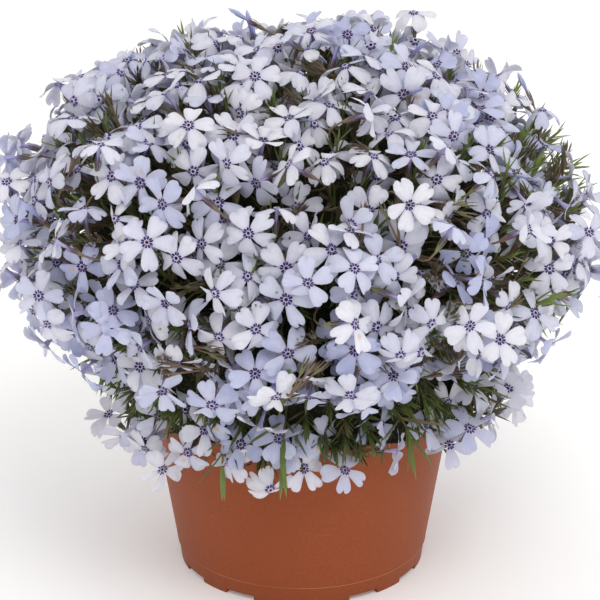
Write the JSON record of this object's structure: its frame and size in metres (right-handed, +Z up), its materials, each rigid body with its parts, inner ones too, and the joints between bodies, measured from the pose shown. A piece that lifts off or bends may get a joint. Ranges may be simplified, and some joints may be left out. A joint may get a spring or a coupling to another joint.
{
  "type": "phlox plant",
  "caption": "Creeping phlox in full flower: a dense dome of small five-petalled lavender blooms over needle leaves, spilling past the rim of a round tapered pot.",
  "frame": {"origin": "on the ground under the middle of the pot, which is also the middle of the plant's outline seen from above", "axes": "+Z straight up out of the pot; -Y towards the front of the plant as pictured; +X to the right seen from the front"},
  "size_m": [0.243, 0.2357, 0.2295],
  "materials": {
    "terracotta_plastic": "matte, soft sheen",
    "potting_soil": "coarse, moist",
    "leaves": "satin leaf",
    "petals": "velvety petal"
  },
  "bodies": {
    "root": {"pot": "terracotta_plastic", "soil": "potting_soil", "foliage": "leaves", "spray_01": "petals", "spray_02": "petals", "spray_03": "petals", "spray_04": "petals", "spray_05": "petals", "spray_06": "petals", "spray_07": "petals", "spray_08": "petals", "spray_09": "petals", "spray_10": "petals", "spray_11": "petals", "spray_12": "petals", "spray_13": "petals", "spray_14": "petals", "spray_15": "petals", "spray_16": "petals", "spray_17": "petals", "spray_18": "petals", "spray_19": "petals", "spray_20": "petals", "spray_21": "petals", "spray_22": "petals", "spray_23": "petals", "spray_24": "petals", "spray_25": "petals", "spray_26": "petals", "spray_27": "petals", "spray_28": "petals", "spray_29": "petals", "spray_30": "petals", "spray_31": "petals", "spray_32": "petals", "spray_33": "petals", "spray_34": "petals", "spray_35": "petals", "spray_36": "petals", "spray_37": "petals", "spray_38": "petals"}
  },
  "joints": []
}
